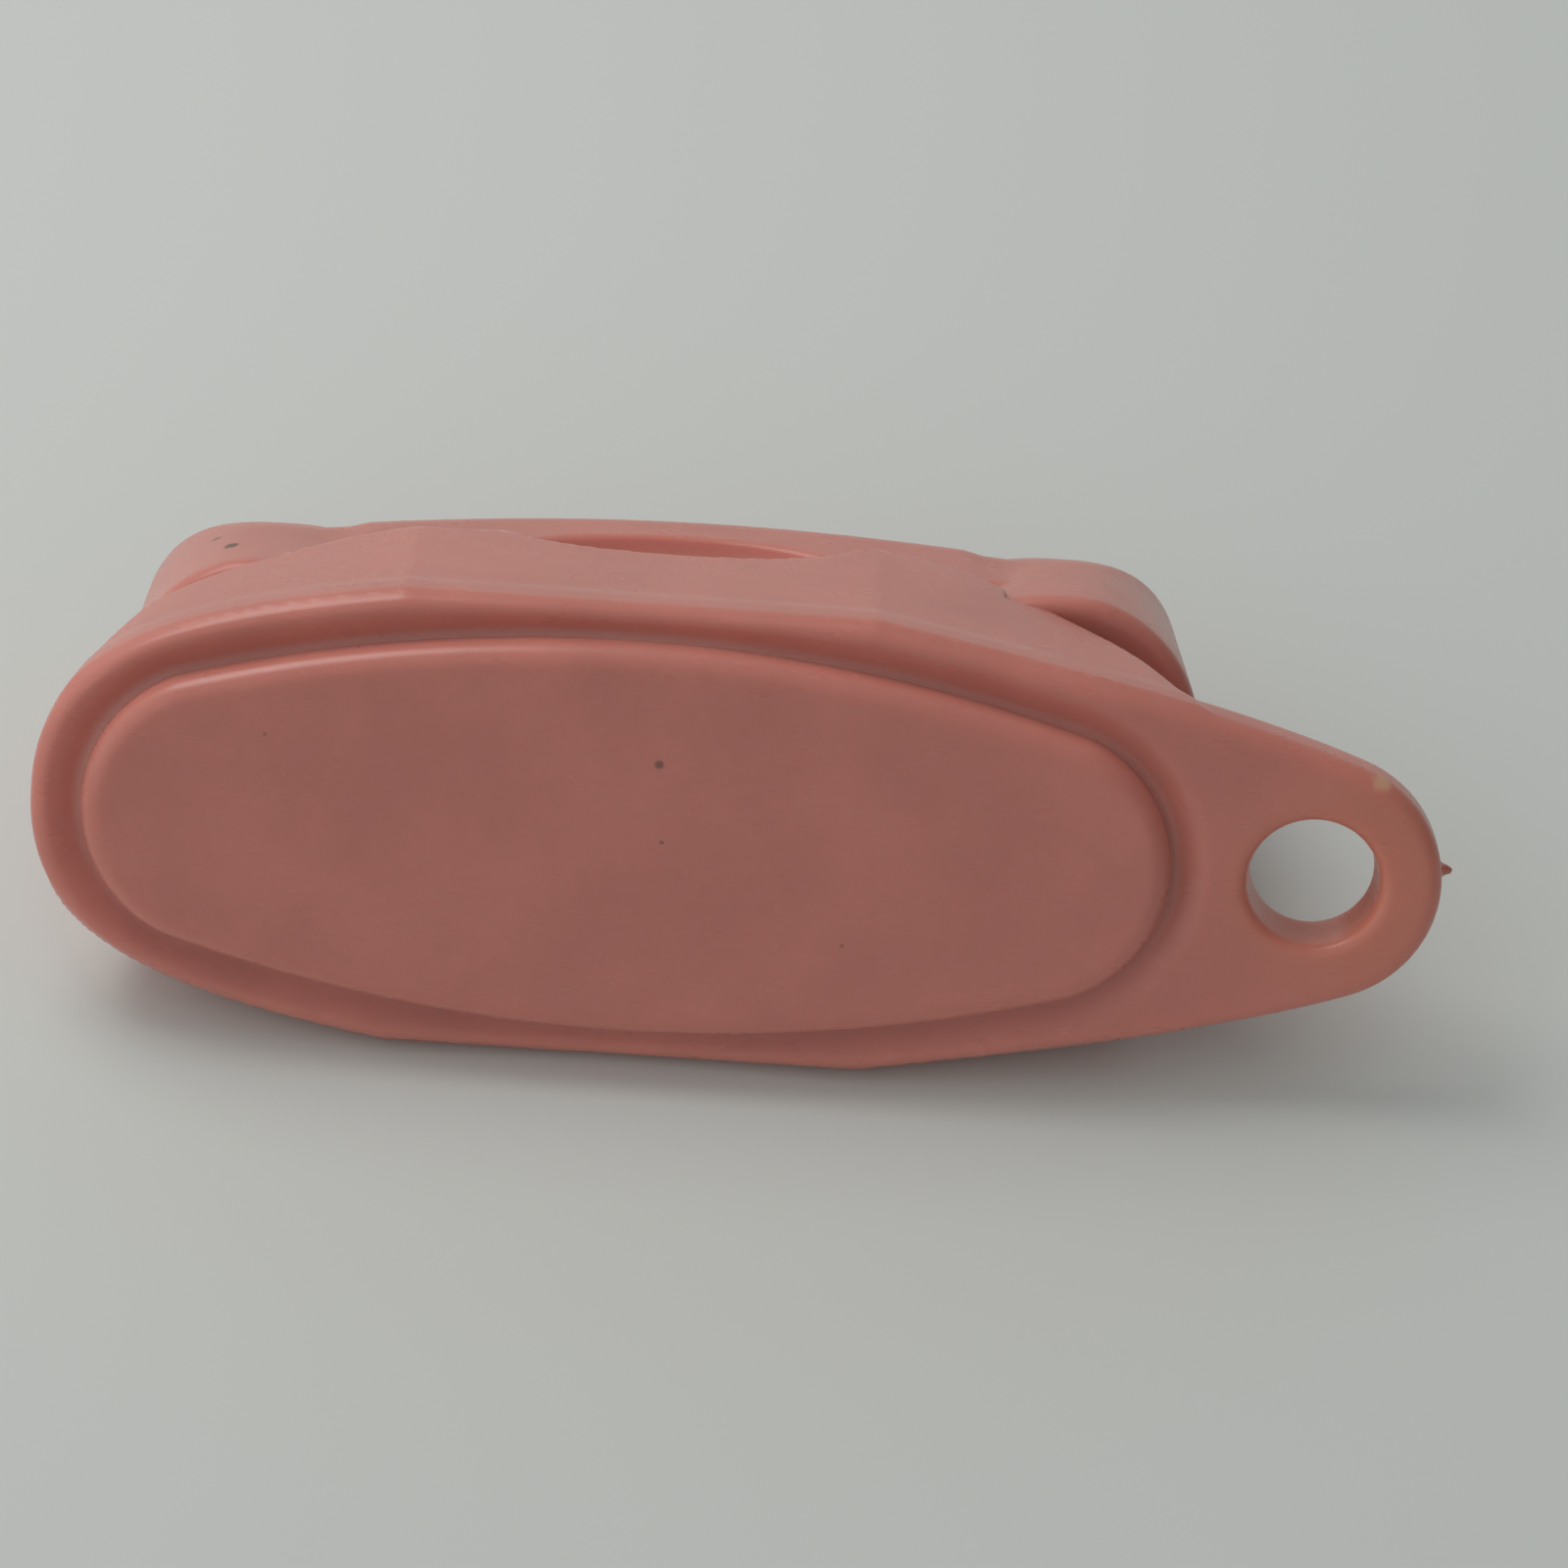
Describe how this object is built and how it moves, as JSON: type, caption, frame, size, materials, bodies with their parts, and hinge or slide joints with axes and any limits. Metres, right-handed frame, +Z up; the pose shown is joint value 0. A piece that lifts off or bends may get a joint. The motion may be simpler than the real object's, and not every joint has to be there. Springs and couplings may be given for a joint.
{
  "type": "miniature telephone key fob",
  "caption": "Moulded pink plastic key fob shaped as a bedside telephone: oval rim with a key-ring tab, raised oval underside plate, handset lying on top and a finger-wheel dial.",
  "frame": {"origin": "bottom centre of the whole fob's box, with the fob lying on its dial side, as it lies when it is put down", "axes": "+X along the telephone towards the key-ring tab, +Y away from the underside plate through the handset, +Z up, which is nearly the telephone's rear side"},
  "size_m": [0.0488, 0.0196, 0.0153],
  "materials": {
    "pink_plastic_housing": "moulded, satin gloss, slightly translucent",
    "pink_plastic_handset": "moulded, satin gloss, slightly translucent",
    "pink_plastic_dial": "moulded, satin"
  },
  "bodies": {
    "root": {"housing": "pink_plastic_housing", "base_plate": "pink_plastic_housing", "handset": "pink_plastic_handset", "earpiece_disc": "pink_plastic_handset", "mouthpiece_disc": "pink_plastic_handset", "dial_plate": "pink_plastic_dial", "dial_wheel": "pink_plastic_dial", "dial_centre": "pink_plastic_dial"}
  },
  "joints": []
}
